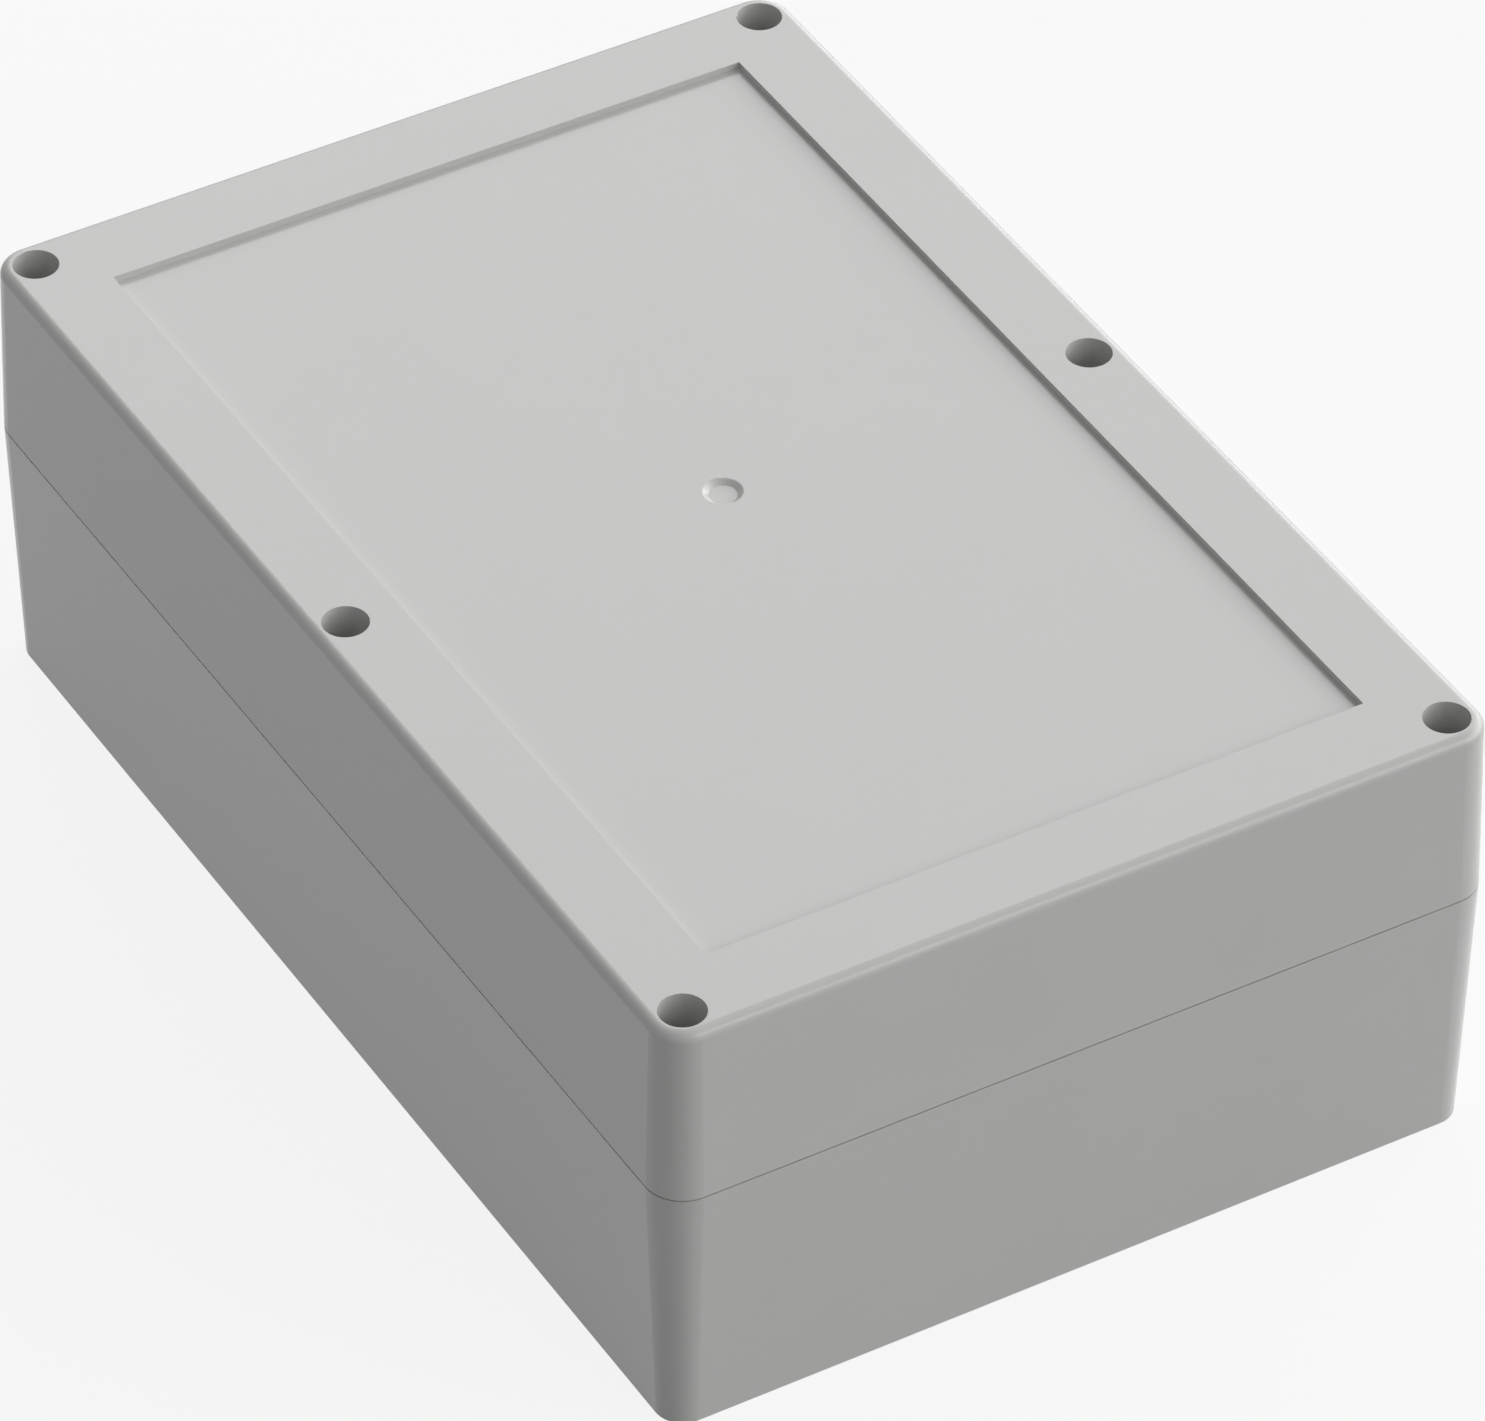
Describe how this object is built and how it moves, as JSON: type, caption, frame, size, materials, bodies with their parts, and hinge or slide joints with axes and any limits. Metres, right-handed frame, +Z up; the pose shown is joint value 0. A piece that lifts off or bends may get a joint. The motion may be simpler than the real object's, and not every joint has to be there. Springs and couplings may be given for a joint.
{
  "type": "plastic project box",
  "caption": "Light grey moulded electronics enclosure with a deep lid, a label recess on top, a sealing gasket inside and captive lid screws sunk in round channels.",
  "frame": {"origin": "middle of the underside, on the surface that the box stands on", "axes": "+X along the long side, +Y along the short side, +Z up through the lid"},
  "size_m": [0.24, 0.16, 0.0865],
  "materials": {
    "housing": "light grey moulded plastic, satin",
    "seal": "soft dark grey rubber",
    "screw_steel": "stainless steel",
    "washer_nylon": "natural nylon",
    "insert_brass": "turned brass"
  },
  "bodies": {
    "base": {"base": "housing", "threaded_insert_1": "insert_brass", "threaded_insert_2": "insert_brass", "threaded_insert_3": "insert_brass", "threaded_insert_4": "insert_brass", "threaded_insert_5": "insert_brass", "threaded_insert_6": "insert_brass"},
    "lid": {"lid": "housing", "gasket": "seal", "screw_washer_1": "washer_nylon", "screw_washer_2": "washer_nylon", "screw_washer_3": "washer_nylon", "screw_washer_4": "washer_nylon", "screw_washer_5": "washer_nylon", "screw_washer_6": "washer_nylon"},
    "screw_1": {"lid_screw_1": "screw_steel"},
    "screw_2": {"lid_screw_2": "screw_steel"},
    "screw_3": {"lid_screw_3": "screw_steel"},
    "screw_4": {"lid_screw_4": "screw_steel"},
    "screw_5": {"lid_screw_5": "screw_steel"},
    "screw_6": {"lid_screw_6": "screw_steel"}
  },
  "joints": [
    {"name": "lid_lift", "type": "slide", "parent": "base", "child": "lid", "axis": [0, 0, 1], "range_m": [0, 0.1]},
    {"name": "screw_1_undo", "type": "slide", "parent": "lid", "child": "screw_1", "axis": [0, 0, 1], "range_m": [0, 0.009]},
    {"name": "screw_2_undo", "type": "slide", "parent": "lid", "child": "screw_2", "axis": [0, 0, 1], "range_m": [0, 0.009]},
    {"name": "screw_3_undo", "type": "slide", "parent": "lid", "child": "screw_3", "axis": [0, 0, 1], "range_m": [0, 0.009]},
    {"name": "screw_4_undo", "type": "slide", "parent": "lid", "child": "screw_4", "axis": [0, 0, 1], "range_m": [0, 0.009]},
    {"name": "screw_5_undo", "type": "slide", "parent": "lid", "child": "screw_5", "axis": [0, 0, 1], "range_m": [0, 0.009]},
    {"name": "screw_6_undo", "type": "slide", "parent": "lid", "child": "screw_6", "axis": [0, 0, 1], "range_m": [0, 0.009]}
  ]
}
